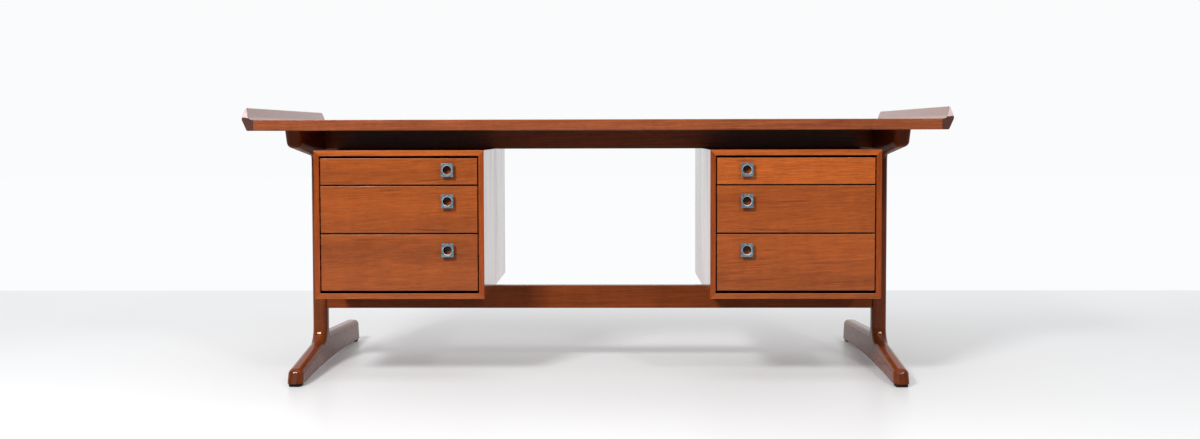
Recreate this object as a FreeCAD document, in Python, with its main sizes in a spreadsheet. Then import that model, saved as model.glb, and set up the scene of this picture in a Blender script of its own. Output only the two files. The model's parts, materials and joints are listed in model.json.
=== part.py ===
import FreeCAD, Part
import os
import re
import Sketcher

# A free-standing executive desk in solid and veneered teak.
#
# A broad top with raised, sculpted end boards floats on two end frames. Each end
# frame is a foot, a post and an arm, joined by mortise and tenon, and two long
# rails tie the frames together. Two cases of three drawers hang between the
# rails. The drawers run on side runners and are joined by half-blind dovetails,
# and each has a square metal pull with a round finger hole.
#
# +X is to the right, +Y to the rear and +Z up, in millimetres. The origin is on
# the floor under the middle of the desk.

SIZES = {
    # Top
    "top_length": 1900,
    "top_depth": 850,
    "top_height": 732.5,
    "top_thickness": 29,
    "edge_strip_depth": 19,
    "edge_top_round": 2,
    "edge_bottom_round": 3,
    # End boards with their raised lips
    "end_board_width": 31,
    "lip_height": 33.5,
    "lip_flat": 2,
    "cove_width": 14.5,
    "cove_height": 14,
    "ridge_width": 2.5,
    "ridge_fall": 2,
    "lip_lean": 8,
    "lip_bulge": 1.2,
    "lip_tip_height": 0.5,
    "lip_undercut": 13,
    "lip_bottom_round": 4,
    "lip_tip_round": 3,
    "ridge_round": 0.8,
    "lip_end_slope": 21,
    "lip_end_height": 5,
    "spline_width": 20,
    "spline_thickness": 8,
    "spline_stop": 45,
    # End frames
    "frame_inset": 96,
    "post_width": 43,
    "post_depth": 44,
    "post_front": 338,
    "frame_front_round": 17,
    "frame_rear_round": 14.5,
    "round_excess": 1.5,
    "tenon_width": 20,
    "tenon_depth": 26,
    "tenon_length": 40,
    "glue_gap": 0.2,
    # Feet
    "foot_inset": 50,
    "foot_stub_top": 140,
    "toe_rake": 15.5,
    "front_toe_height": 47.5,
    "rear_toe_height": 72.5,
    "foot_front_height": 83.5,
    "foot_rear_height": 96.6,
    "foot_front_fillet": 42,
    "foot_rear_fillet": 22,
    "foot_pad_length": 44,
    "arch_rise": 10,
    "glide_height": 9,
    "glide_length": 34,
    "glide_width": 36,
    "glide_inset": 6,
    "glide_round": 9,
    "glide_chamfer": 2,
    # Arms
    "arm_inset": 58,
    "arm_stub_depth": 104,
    "arm_end_rake": 21,
    "arm_end_depth": 46.5,
    "arm_root_depth": 77.5,
    "arm_fillet": 12,
    # Rails
    "rail_thickness": 24,
    "lower_rail_bottom": 175,
    "lower_rail_height": 67.5,
    "upper_rail_height": 54,
    "rail_round": 2.5,
    "rail_tenon_length": 18,
    "rail_tenon_thickness": 12,
    "rail_shoulder": 7,
    # Screws
    "screw_head_radius": 4.5,
    "screw_head_height": 3.5,
    "screw_radius": 2.5,
    "screw_clearance": 0.1,
    "screw_grip": 25,
    "top_screw_bite": 16,
    "case_screw_bite": 11,
    "arm_screw_inset": 110,
    "rail_screw_spacing": 180,
    "case_screw_spacing": 300,
    # Cases
    "case_frame_gap": 37,
    "case_width": 465.5,
    "case_depth": 615.5,
    "case_setback": 60.5,
    "case_wall": 15,
    "case_back_thickness": 8,
    "case_edge_round": 0.8,
    # Drawers
    "front_thickness": 18,
    "front_inset": 2,
    "front_side_gap": 2.5,
    "front_end_gap": 6.5,
    "front_gap": 3.2,
    "front_round": 1.2,
    "drawer_side_clearance": 3,
    "drawer_side_thickness": 12,
    "drawer_side_lift": 4,
    "drawer_side_drop": 8,
    "drawer_rear_space": 20,
    "drawer_back_drop": 5,
    "drawer_back_housing": 4,
    "drawer_bottom_thickness": 5,
    "drawer_bottom_lift": 8,
    "panel_groove": 6,
    "tail_length": 12,
    "tail_pitch": 29,
    "tail_flare": 2,
    "joint_gap": 0.1,
    # Runners
    "runner_height": 14,
    "runner_depth": 8,
    "runner_setback": 30,
    "runner_rear_gap": 4,
    "running_gap": 0.3,
    "runner_stop_gap": 1,
    # Pulls
    "pull_width": 34,
    "pull_height": 37.5,
    "pull_thickness": 4.5,
    "pull_projection": 14,
    "pull_edge_bevel": 0.6,
    "pull_neck_radius": 14.5,
    "pull_hole_radius": 11.5,
    "pull_rim": 1.3,
    "pull_seat": 5,
    "pull_from_edge": 81.5,
    "top_pull_drop": 32,
    "middle_pull_drop": 41,
    "bottom_pull_drop": 42.5,
    # How far a cut runs past the wood that it cuts
    "overrun": 5,
}

# Where the arc of the cove and the arc of the lip's end pass, as shares of the
# width and height that they cross.
COVE_SHARES = (0.72, 0.32)
LIP_END_SHARES = (0.33, 0.57)
# How much of a dovetail's pitch its narrow root takes.
TAIL_SHARE = 0.55
# The drawers of a case, and how their fronts share the height that the gaps leave.
LEVELS = ("bottom", "middle", "top")
FRONT_SHARES = (0.435, 0.361, 0.204)
# How closely an edge has to lie at a place to be the edge meant.
NEAR = 0.01

doc = FreeCAD.newDocument("executive_desk")
sheet = doc.addObject("Spreadsheet::Sheet", "Sizes")
for row, (word, number) in enumerate(SIZES.items(), start=1):
    sheet.set(f"A{row}", word)
    sheet.set(f"B{row}", str(number))
    sheet.setAlias(f"B{row}", word)
doc.recompute()

nodes = []


# Formulas

def in_sheet(formula):
    """Write a formula of size names as the sheet's own expression."""
    return re.sub(r"[a-z][a-z_]+", lambda word: "Sizes." + word.group(0), formula)


def value(formula):
    return float(sheet.evalExpression(in_sheet(formula)))


def bind(item, field, formula):
    item.setExpression(field, in_sheet(formula))


def place(item, x="0", y="0", z="0"):
    for axis, formula in zip("xyz", (x, y, z)):
        bind(item, f"Placement.Base.{axis}", formula)


TOP_END = "(top_length / 2)"
TOP_FRONT = "(-top_depth / 2)"
UNDERSIDE = "(top_height - top_thickness)"
JOINT_END = f"({TOP_END} - end_board_width)"
FRAME_X = f"({TOP_END} - frame_inset - post_width / 2)"
FRAME_INSIDE = f"({TOP_END} - frame_inset - post_width)"
FOOT_END = "(top_depth / 2 - foot_inset)"
ARM_END = "(top_depth / 2 - arm_inset)"
ARM_STUB_BOTTOM = f"({UNDERSIDE} - arm_stub_depth)"
POST_FRONT = f"({TOP_FRONT} + post_front)"
POST_REAR = f"({POST_FRONT} + post_depth)"
POST_Y = f"({POST_FRONT} + post_depth / 2)"
CASE_X = f"({FRAME_INSIDE} - case_frame_gap - case_width / 2)"
CASE_FRONT = f"({TOP_FRONT} + case_setback)"
CASE_BOTTOM = "(lower_rail_bottom + lower_rail_height)"
CASE_TOP = f"({UNDERSIDE} - upper_rail_height)"
CASE_HEIGHT = f"({CASE_TOP} - {CASE_BOTTOM})"
CASE_HALF = "(case_width / 2)"
CASE_HALF_INSIDE = f"({CASE_HALF} - case_wall)"
BOX_HALF = f"({CASE_HALF_INSIDE} - drawer_side_clearance)"
BOX_HALF_INSIDE = f"({BOX_HALF} - drawer_side_thickness)"
FRONT_HALF = f"({CASE_HALF_INSIDE} - front_side_gap)"
BOX_REAR = "(case_depth - case_back_thickness - drawer_rear_space - front_inset)"
PANEL_UNDER = "(drawer_side_lift + drawer_bottom_lift)"
PANEL_OVER = f"({PANEL_UNDER} + drawer_bottom_thickness)"
RUNNER_BITE = "(runner_depth - drawer_side_clearance)"


# Features

def origin_plane(body, role):
    return next(plane for plane in body.Origin.OriginFeatures if plane.Role == role)


def new_body(label):
    body = doc.addObject("PartDesign::Body", label)
    body.Label = label
    return body


def attach(body, feature, role):
    feature.AttachmentSupport = (origin_plane(body, role), [""])
    feature.MapMode = "FlatFace"


def block(body, kind, name, x, y, z):
    """Add or cut a block, each direction given as its low and high place."""
    feature = body.newObject(f"PartDesign::{kind}Box", name)
    attach(body, feature, "XY_Plane")
    for axis, field, (low, high) in zip("xyz", ("Length", "Width", "Height"), (x, y, z)):
        bind(feature, f"AttachmentOffset.Base.{axis}", low)
        bind(feature, field, f"({high}) - ({low})")
    return feature


def upright_bore(body, name, x, y, z, radius):
    """Bore a round hole between two heights."""
    feature = body.newObject("PartDesign::SubtractiveCylinder", name)
    attach(body, feature, "XY_Plane")
    low, high = z
    for axis, formula in zip("xyz", (x, y, low)):
        bind(feature, f"AttachmentOffset.Base.{axis}", formula)
    bind(feature, "Radius", radius)
    bind(feature, "Height", f"({high}) - ({low})")


def level_cylinder(body, kind, name, x, y, z, radius):
    """Add or cut a cylinder along Y, between two places, in a body's own frame."""
    feature = body.newObject(f"PartDesign::{kind}Cylinder", name)
    attach(body, feature, "XZ_Plane")
    front, rear = y
    bind(feature, "AttachmentOffset.Base.x", x)
    bind(feature, "AttachmentOffset.Base.y", z)
    bind(feature, "AttachmentOffset.Base.z", f"-({rear})")
    bind(feature, "Radius", radius)
    bind(feature, "Height", f"({rear}) - ({front})")


def tie(sketch, geometry, vertex, across, up):
    """Hold a point of a sketch at two formulas."""
    for kind, axis, formula in (("DistanceX", -2, across), ("DistanceY", -1, up)):
        if formula == "0":
            sketch.addConstraint(Sketcher.Constraint("PointOnObject", geometry, vertex, axis))
        else:
            fixed = Sketcher.Constraint(kind, -1, 1, geometry, vertex, value(formula))
            index = sketch.addConstraint(fixed)
            bind(sketch, f"Constraints[{index}]", formula)


def draw(sketch, steps):
    """Draw a closed outline whose every corner is tied to the sheet.

    A step is the corner that an edge runs to. A step of four formulas is a round
    edge, whose arc passes through the second pair on its way to the first.
    """
    spots = [FreeCAD.Vector(value(step[0]), value(step[1]), 0) for step in steps]
    edges = []
    for index, step in enumerate(steps):
        start, end = spots[index - 1], spots[index]
        if len(step) == 2:
            edges.append(sketch.addGeometry(Part.LineSegment(start, end), False))
            continue
        middle = FreeCAD.Vector(value(step[2]), value(step[3]), 0)
        arc = sketch.addGeometry(Part.Arc(start, middle, end), False)
        mark = sketch.addGeometry(Part.Point(middle), True)
        sketch.addConstraint(Sketcher.Constraint("PointOnObject", mark, 1, arc))
        tie(sketch, mark, 1, step[2], step[3])
        edges.append(arc)
    for index, step in enumerate(steps):
        edge, following, spot = edges[index], edges[(index + 1) % len(edges)], spots[index]
        ends = [min((1, 2), key=lambda end: sketch.getPoint(line, end).distanceToPoint(spot))
                for line in (edge, following)]
        sketch.addConstraint(Sketcher.Constraint("Coincident", edge, ends[0], following, ends[1]))
        tie(sketch, edge, ends[0], step[0], step[1])


def sketch_on(body, role, name, outlines, offset="0"):
    sketch = body.newObject("Sketcher::SketchObject", name)
    attach(body, sketch, role)
    bind(sketch, "AttachmentOffset.Base.z", offset)
    for steps in outlines:
        draw(sketch, steps)
    return sketch


def extrude(body, kind, name, sketch, length, direction="Symmetric"):
    """Pad or pocket a sketch both ways, or forwards or backwards along its normal."""
    feature = body.newObject(f"PartDesign::{kind}", name)
    feature.Profile = sketch
    feature.SideType = "Symmetric" if direction == "Symmetric" else "One side"
    natural = "Forwards" if kind == "Pad" else "Backwards"
    feature.Reversed = direction not in ("Symmetric", natural)
    bind(feature, "Length", length)
    return feature


def lies(edge, **spots):
    """Whether the whole edge lies at one place on each named axis."""
    box = edge.BoundBox
    ends = {"x": (box.XMin, box.XMax), "y": (box.YMin, box.YMax), "z": (box.ZMin, box.ZMax)}
    return all(abs(end - spot) < NEAR for axis, spot in spots.items() for end in ends[axis])


def finish_edges(body, kind, name, size, wanted):
    """Round or chamfer each edge of the body so far for which wanted(edge) holds."""
    doc.recompute()
    base = body.Tip
    names = [f"Edge{index}" for index, edge in enumerate(base.Shape.Edges, start=1) if wanted(edge)]
    feature = body.newObject(f"PartDesign::{kind}", name)
    feature.Base = (base, names)
    bind(feature, "Radius" if kind == "Fillet" else "Size", size)


def round_corners(body, name, radius, axes, corners):
    """Round the long edges that pass through corners given on two axes."""
    spots = [dict(zip(axes, (value(first), value(second)))) for first, second in corners]
    finish_edges(body, "Fillet", name, radius, lambda edge: any(lies(edge, **spot) for spot in spots))


def mirrored(source, label):
    """The same piece on the other side of the desk's or the drawer's middle."""
    twin = doc.addObject("Part::Mirroring", label)
    twin.Label = label
    twin.Source = source
    twin.Normal = FreeCAD.Vector(1, 0, 0)
    return twin


def group(label, pieces):
    """Like pieces that share a name, each a solid of its own."""
    compound = doc.addObject("Part::Compound", label)
    compound.Label = label
    compound.Links = pieces
    return compound


def keep(*pieces):
    nodes.extend(pieces)


def keep_pair(name, right_piece):
    """Keep a right-hand piece and its mirror image."""
    right_piece.Label = f"right_{name}"
    keep(mirrored(right_piece, f"left_{name}"), right_piece)


# Top

def screw_spots():
    """Where the screws that hold the top stand: in the arms, then in the rail."""
    arms = [(f"{side} * {FRAME_X}", arm_screw_y(end)) for side in ("-1", "1") for end in ("-1", "1")]
    return arms + rail_screw_spots()


def arm_screw_y(end):
    return f"{end} * ({ARM_END} - arm_screw_inset)"


def rail_screw_spots():
    return [(f"{step} * rail_screw_spacing", POST_Y) for step in ("-1", "0", "1")]


def desktop_board():
    body = new_body("desktop_board")
    half_depth = "top_depth / 2 - edge_strip_depth"
    block(body, "Additive", "Panel", (f"-{JOINT_END}", JOINT_END), (f"-({half_depth})", half_depth),
          (UNDERSIDE, "top_height"))
    near, far = f"({JOINT_END} - spline_width / 2 - glue_gap)", f"({JOINT_END} + overrun)"
    block(body, "Subtractive", "RightGroove", (near, far), *spline_groove())
    block(body, "Subtractive", "LeftGroove", (f"-{far}", f"-{near}"), *spline_groove())
    for index, (x, y) in enumerate(screw_spots(), start=1):
        upright_bore(body, f"Pilot{index}", x, y,
                     (f"{UNDERSIDE} - overrun", f"{UNDERSIDE} + top_screw_bite + screw_clearance"),
                     "screw_radius + screw_clearance")
    keep(body)


def spline_groove(gap="glue_gap"):
    """The depth and height spans of the groove that takes a spline."""
    reach = f"(top_depth / 2 - spline_stop + {gap})"
    middle = "(top_height - top_thickness / 2)"
    half = f"(spline_thickness / 2 + {gap})"
    return (f"-{reach}", reach), (f"{middle} - {half}", f"{middle} + {half}")


def end_board_splines():
    body = new_body("right_spline")
    block(body, "Additive", "Tongue", (f"{JOINT_END} - spline_width / 2", f"{JOINT_END} + spline_width / 2"),
          *spline_groove("0"))
    keep(group("end_board_splines", [mirrored(body, "left_spline"), body]))


def edge_strip(label, side):
    """A solid strip along the front or the rear of the top."""
    outside = f"{side} * top_depth / 2"
    inside = f"{side} * (top_depth / 2 - edge_strip_depth)"
    body = new_body(label)
    block(body, "Additive", "Strip", (f"-{JOINT_END}", JOINT_END),
          (outside, inside) if side == "-1" else (inside, outside), (UNDERSIDE, "top_height"))
    round_corners(body, "TopRound", "edge_top_round", "yz", [(outside, "top_height")])
    round_corners(body, "BottomRound", "edge_bottom_round", "yz", [(outside, UNDERSIDE)])
    keep(body)


def end_board():
    """The end board, drawn from its joint with the top, at the top's surface."""
    body = new_body("right_end_board")
    ridge_x = "(end_board_width - lip_lean)"
    cove_x = "(lip_flat + cove_width)"
    under = ("end_board_width - lip_undercut", "-top_thickness")
    tip = ("end_board_width", "lip_tip_height")
    ridge = (ridge_x, "lip_height")
    ridge_inside = (f"{ridge_x} - ridge_width", "lip_height - ridge_fall")
    section = [
        ("0", "-top_thickness"),
        under,
        tip,
        (*ridge, "end_board_width - lip_lean / 2 + lip_bulge", "(lip_tip_height + lip_height) / 2"),
        ridge_inside,
        (cove_x, "cove_height"),
        ("lip_flat", "0", f"lip_flat + {COVE_SHARES[0]} * cove_width", f"{COVE_SHARES[1]} * cove_height"),
        ("0", "0"),
    ]
    extrude(body, "Pad", "Length", sketch_on(body, "XZ_Plane", "Section", [section]), "top_depth")
    round_corners(body, "UnderRound", "lip_bottom_round", "xz", [under])
    round_corners(body, "TipRound", "lip_tip_round", "xz", [tip])
    round_corners(body, "RidgeRound", "ridge_round", "xz", [ridge, ridge_inside])
    ends = [lip_end("-1"), lip_end("1")]
    sketch = sketch_on(body, "YZ_Plane", "EndSlopes", ends)
    extrude(body, "Pocket", "EndCut", sketch, "2 * (end_board_width + overrun)")
    reach, height = spline_groove()
    block(body, "Subtractive", "Groove", ("-overrun", "spline_width / 2 + glue_gap"), reach,
          [f"{level} - top_height" for level in height])
    place(body, x=JOINT_END, z="top_height")
    keep_pair("end_board", body)


def lip_end(side):
    """The wood that is cut off the lip where it dies away at the front or rear."""
    end = f"{side} * top_depth / 2"
    across, up = LIP_END_SHARES
    return [
        (end, "lip_end_height"),
        (f"{end} - {side} * lip_end_slope", "lip_height",
         f"{end} - {side} * {across} * lip_end_slope",
         f"lip_end_height + {up} * (lip_height - lip_end_height)"),
        (f"{end} - {side} * lip_end_slope", "lip_height + overrun"),
        (f"{end} + {side} * overrun", "lip_height + overrun"),
        (f"{end} + {side} * overrun", "lip_end_height"),
    ]


# End frames

def frame_sides(body, top_spared, bottom_spared):
    """Round the frame's outer edges, the front run and the rear run."""
    half = value("post_width / 2")
    middle = value(POST_Y)

    def on_run(edge, front):
        box = edge.BoundBox
        if not (lies(edge, x=half) or lies(edge, x=-half)):
            return False
        if box.ZMin > top_spared - NEAR or box.ZMax < bottom_spared + NEAR:
            return False
        return (box.Center.y < middle) == front

    finish_edges(body, "Fillet", "FrontEdges", "frame_front_round", lambda edge: on_run(edge, True))
    finish_edges(body, "Fillet", "RearEdges", "frame_rear_round", lambda edge: on_run(edge, False))


def mortise(body, name, z):
    """A blind mortise for the post's tenon."""
    block(body, "Subtractive", name,
          ("-(tenon_width / 2 + glue_gap)", "tenon_width / 2 + glue_gap"),
          (f"{POST_Y} - tenon_depth / 2 - glue_gap", f"{POST_Y} + tenon_depth / 2 + glue_gap"), z)


def foot():
    body = new_body("right_foot")
    toe = FOOT_END
    front_crest = (f"-{toe} + toe_rake", "front_toe_height")
    rear_crest = (f"{toe} - toe_rake", "rear_toe_height")
    front_root = (POST_FRONT, "foot_front_height")
    rear_root = (POST_REAR, "foot_rear_height")
    pad_end = f"({toe} - foot_pad_length)"
    side_view = [
        (f"-{toe}", "glide_height"),
        front_crest,
        front_root,
        (POST_FRONT, "foot_stub_top"),
        (POST_REAR, "foot_stub_top"),
        rear_root,
        rear_crest,
        (toe, "glide_height"),
        (pad_end, "glide_height"),
        (f"-{pad_end}", "glide_height", "0", "glide_height + arch_rise"),
    ]
    extrude(body, "Pad", "Blank", sketch_on(body, "YZ_Plane", "SideView", [side_view]), "post_width")
    round_corners(body, "FrontToe", "frame_front_round + round_excess", "yz", [front_crest])
    round_corners(body, "RearToe", "frame_rear_round + round_excess", "yz", [rear_crest])
    round_corners(body, "FrontRoot", "foot_front_fillet", "yz", [front_root])
    round_corners(body, "RearRoot", "foot_rear_fillet", "yz", [rear_root])
    frame_sides(body, value("foot_stub_top"), value("glide_height + arch_rise"))
    mortise(body, "Mortise", ("foot_stub_top - tenon_length - glue_gap", "foot_stub_top + overrun"))
    place(body, x=FRAME_X)
    keep_pair("foot", body)


def rail_mortise(body, name, low, high):
    """A mortise in the frame's inner face, for a rail's tenon."""
    inside = "(-post_width / 2)"
    half = "(rail_tenon_thickness / 2 + glue_gap)"
    block(body, "Subtractive", name, (f"{inside} - overrun", f"{inside} + rail_tenon_length + glue_gap"),
          (f"{POST_Y} - {half}", f"{POST_Y} + {half}"),
          (f"{low} + rail_shoulder - glue_gap", f"{high} - rail_shoulder + glue_gap"))


def post():
    body = new_body("right_post")
    block(body, "Additive", "Blank", ("-post_width / 2", "post_width / 2"), (POST_FRONT, POST_REAR),
          ("foot_stub_top", ARM_STUB_BOTTOM))
    for name, radius, y in (("FrontEdges", "frame_front_round", POST_FRONT),
                            ("RearEdges", "frame_rear_round", POST_REAR)):
        round_corners(body, name, radius, "xy", [("post_width / 2", y), ("-post_width / 2", y)])
    block(body, "Additive", "Tenons", ("-tenon_width / 2", "tenon_width / 2"),
          (f"{POST_Y} - tenon_depth / 2", f"{POST_Y} + tenon_depth / 2"),
          ("foot_stub_top - tenon_length", f"{ARM_STUB_BOTTOM} + tenon_length"))
    rail_mortise(body, "RailMortise", "lower_rail_bottom", CASE_BOTTOM)
    place(body, x=FRAME_X)
    keep_pair("post", body)


def arm():
    body = new_body("right_arm")
    end = ARM_END
    end_z = f"({UNDERSIDE} - arm_end_depth)"
    root_z = f"({UNDERSIDE} - arm_root_depth)"
    front_heel = (f"-{end} + arm_end_rake", end_z)
    rear_heel = (f"{end} - arm_end_rake", end_z)
    side_view = [
        (f"-{end}", UNDERSIDE),
        front_heel,
        (POST_FRONT, root_z),
        (POST_FRONT, ARM_STUB_BOTTOM),
        (POST_REAR, ARM_STUB_BOTTOM),
        (POST_REAR, root_z),
        rear_heel,
        (end, UNDERSIDE),
    ]
    extrude(body, "Pad", "Blank", sketch_on(body, "YZ_Plane", "SideView", [side_view]), "post_width")
    round_corners(body, "FrontHeel", "frame_front_round + round_excess", "yz", [front_heel])
    round_corners(body, "RearHeel", "frame_rear_round + round_excess", "yz", [rear_heel])
    round_corners(body, "Roots", "arm_fillet", "yz", [(POST_FRONT, root_z), (POST_REAR, root_z)])
    frame_sides(body, value(UNDERSIDE), value(ARM_STUB_BOTTOM))
    mortise(body, "Mortise", (f"{ARM_STUB_BOTTOM} - overrun", f"{ARM_STUB_BOTTOM} + tenon_length + glue_gap"))
    rail_mortise(body, "RailMortise", CASE_TOP, UNDERSIDE)
    for name, end_sign in (("Front", "-1"), ("Rear", "1")):
        counterbored_hole(body, name, "0", arm_screw_y(end_sign), root_z, UNDERSIDE, "screw_grip")
    place(body, x=FRAME_X)
    keep_pair("arm", body)


def counterbored_hole(body, name, x, y, low, high, grip):
    """A hole for a screw that goes up, its head a grip's thickness below the high face."""
    seat = f"({high} - {grip})"
    upright_bore(body, f"{name}Counterbore", x, y, (f"{low} - overrun", seat),
                 "screw_head_radius + screw_clearance")
    upright_bore(body, f"{name}Shank", x, y, (f"{seat} - screw_clearance", f"{high} + overrun"),
                 "screw_radius + screw_clearance")


def foot_glides():
    body = new_body("front_right_glide")
    front = f"(-{FOOT_END} + glide_inset)"
    rear = f"({front} + glide_length)"
    block(body, "Additive", "Slab", ("-glide_width / 2", "glide_width / 2"),
          (front, rear), ("0", "glide_height"))
    corners = [(x, y) for x in ("-glide_width / 2", "glide_width / 2") for y in (front, rear)]
    round_corners(body, "Corners", "glide_round", "xy", corners)
    finish_edges(body, "Chamfer", "Foot", "glide_chamfer", lambda edge: lies(edge, z=0))
    place(body, x=FRAME_X)
    behind = doc.addObject("Part::Mirroring", "rear_right_glide")
    behind.Source = body
    behind.Normal = FreeCAD.Vector(0, 1, 0)
    right = [body, behind]
    left = [mirrored(glide, glide.Name.replace("right", "left")) for glide in right]
    keep(group("foot_glides", right + left))


# Rails

def rail(label, low, high):
    """A long rail with a tenon at each end."""
    body = new_body(label)
    front, rear = f"{POST_Y} - rail_thickness / 2", f"{POST_Y} + rail_thickness / 2"
    block(body, "Additive", "Blank", (f"-{FRAME_INSIDE}", FRAME_INSIDE), (front, rear), (low, high))
    round_corners(body, "LowerEdges", "rail_round", "yz", [(front, low), (rear, low)])
    reach = f"({FRAME_INSIDE} + rail_tenon_length)"
    block(body, "Additive", "Tenons", (f"-{reach}", reach),
          (f"{POST_Y} - rail_tenon_thickness / 2", f"{POST_Y} + rail_tenon_thickness / 2"),
          (f"{low} + rail_shoulder", f"{high} - rail_shoulder"))
    return body


def case_screw_spots():
    return [(f"{side} * {CASE_X} + {step} * case_screw_spacing / 2", POST_Y)
            for side in ("-1", "1") for step in ("-1", "1")]


def lower_rail():
    body = rail("lower_rail", "lower_rail_bottom", CASE_BOTTOM)
    for index, (x, y) in enumerate(case_screw_spots(), start=1):
        counterbored_hole(body, f"Case{index}", x, y, "lower_rail_bottom", CASE_BOTTOM, "screw_grip")
    keep(body)


def upper_rail():
    body = rail("upper_rail", CASE_TOP, UNDERSIDE)
    for index, (x, y) in enumerate(rail_screw_spots(), start=1):
        counterbored_hole(body, f"Top{index}", x, y, CASE_TOP, UNDERSIDE, "screw_grip")
    for index, (x, y) in enumerate(case_screw_spots(), start=1):
        upright_bore(body, f"Case{index}", x, y,
                     (f"{CASE_TOP} - overrun", f"{CASE_TOP} + screw_grip + screw_clearance"),
                     "screw_radius + screw_clearance")
    keep(body)


# Screws

def screw(name, x, y, seat, tip):
    """A screw that points up: a head under its seat, and a shank."""
    head = doc.addObject("Part::Cylinder", f"{name}Head")
    shank = doc.addObject("Part::Cylinder", f"{name}Shank")
    for piece, radius, low, high in ((head, "screw_head_radius", f"{seat} - screw_head_height", seat),
                                     (shank, "screw_radius", seat, tip)):
        bind(piece, "Radius", radius)
        bind(piece, "Height", f"({high}) - ({low})")
        place(piece, x, y, low)
    whole = doc.addObject("Part::MultiFuse", name)
    whole.Shapes = [head, shank]
    return whole


def desktop_screws():
    screws = [screw(f"TopScrew{index}", x, y, f"({UNDERSIDE} - screw_grip)",
                    f"({UNDERSIDE} + top_screw_bite)")
              for index, (x, y) in enumerate(screw_spots(), start=1)]
    keep(group("desktop_screws", screws))


def case_screws():
    screws = []
    for index, (x, y) in enumerate(case_screw_spots(), start=1):
        screws.append(screw(f"LowerScrew{index}", x, y, f"({CASE_BOTTOM} - screw_grip)",
                            f"({CASE_BOTTOM} + case_screw_bite)"))
        screws.append(screw(f"UpperScrew{index}", x, y, f"({CASE_TOP} - case_screw_bite)",
                            f"({CASE_TOP} + screw_grip)"))
    keep(group("case_screws", screws))


# Cases, each drawn from the middle of its front edge, at its underside

def place_case(piece):
    place(piece, CASE_X, CASE_FRONT, CASE_BOTTOM)


def case_board(name, section):
    """One mitred board of a case, rebated at the rear for the back panel."""
    body = new_body(f"right_case_{name}")
    sketch = sketch_on(body, "XZ_Plane", "Section", [section])
    extrude(body, "Pad", "Board", sketch, "case_depth", "Backwards")
    finish_edges(body, "Fillet", "FrontEdges", "case_edge_round",
                 lambda edge: lies(edge, y=0) and edge.Length > value("case_wall * 2"))
    block(body, "Subtractive", "Rebate", *back_panel_span(), (
        "case_wall / 2", f"{CASE_HEIGHT} - case_wall / 2"))
    return body


def back_panel_span(gap="0"):
    """How far the back panel reaches to each side, and from front to rear."""
    half = f"({CASE_HALF} - case_wall / 2 - {gap})"
    return (f"-{half}", half), ("case_depth - case_back_thickness", "case_depth")


def case_boards():
    outside, inside = CASE_HALF, CASE_HALF_INSIDE
    low = [(f"-{outside}", "0"), (outside, "0"), (inside, "case_wall"), (f"-{inside}", "case_wall")]
    high = [(x, f"{CASE_HEIGHT} - {z}") for x, z in low]
    side = [(outside, "0"), (outside, CASE_HEIGHT), (inside, f"{CASE_HEIGHT} - case_wall"),
            (inside, "case_wall")]
    bottom = case_board("bottom", low)
    top = case_board("top", high)
    outer = case_board("outer_side", side)
    inner = case_board("inner_side", [(f"-{x}", z) for x, z in side])
    for index, step in enumerate(("-1", "1"), start=1):
        x, y = f"{step} * case_screw_spacing / 2", f"{POST_Y} - {CASE_FRONT}"
        upright_bore(bottom, f"Pilot{index}", x, y, ("-overrun", "case_screw_bite + screw_clearance"),
                     "screw_radius + screw_clearance")
        counterbored_hole(top, f"Hole{index}", x, y, f"{CASE_HEIGHT} - case_wall", CASE_HEIGHT,
                          "case_screw_bite")
    for name, board in (("bottom", bottom), ("top", top), ("outer_side", outer), ("inner_side", inner)):
        place_case(board)
        keep_pair(f"case_{name}", board)


def case_back():
    body = new_body("right_case_back")
    block(body, "Additive", "Panel", *back_panel_span("glue_gap"),
          ("case_wall / 2 + glue_gap", f"{CASE_HEIGHT} - case_wall / 2 - glue_gap"))
    place_case(body)
    keep_pair("case_back", body)


# Drawers, each drawn from the middle of its front's lower edge, at its front face

def front_height(level):
    """A front's share of the case's opening, less the gaps round the fronts."""
    opening = f"({CASE_HEIGHT} - 2 * case_wall)"
    share = FRONT_SHARES[LEVELS.index(level)]
    return f"({share} * ({opening} - 2 * front_end_gap - 2 * front_gap))"


def drawer_bottom_place(level):
    """How high a drawer's front stands above the case's underside."""
    lower_levels = LEVELS[:LEVELS.index(level)]
    below = "".join(f" + {front_height(lower)} + front_gap" for lower in lower_levels)
    return f"(case_wall + front_end_gap{below})"


def place_drawer(piece, level):
    place(piece, CASE_X, f"{CASE_FRONT} + front_inset", f"{CASE_BOTTOM} + {drawer_bottom_place(level)}")


def side_span(level):
    """The lower and upper edge of a drawer's sides."""
    return "drawer_side_lift", f"({front_height(level)} - drawer_side_drop)"


def runner_middle(level):
    """A runner lies halfway between the drawer's bottom and the upper edge of its sides."""
    return f"(({PANEL_OVER} + {side_span(level)[1]}) / 2)"


def tails(level, gap="0"):
    """The corners of each dovetail, from its root up along the flare and back."""
    low, high = side_span(level)
    count = round(value(f"({high} - {low}) / tail_pitch"))
    pitch = f"(({high} - {low}) / {count})"
    root_y, tip_y = "front_thickness", f"(front_thickness - tail_length - {gap})"
    shapes = []
    for index in range(count):
        middle = f"({low} + {index + 0.5} * {pitch})"
        root = f"({TAIL_SHARE} * {pitch} / 2 + {gap})"
        tip = f"({root} + tail_flare)"
        shapes.append([(root_y, f"{middle} - {root}"), (tip_y, f"{middle} - {tip}"),
                       (tip_y, f"{middle} + {tip}"), (root_y, f"{middle} + {root}")])
    return shapes


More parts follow.
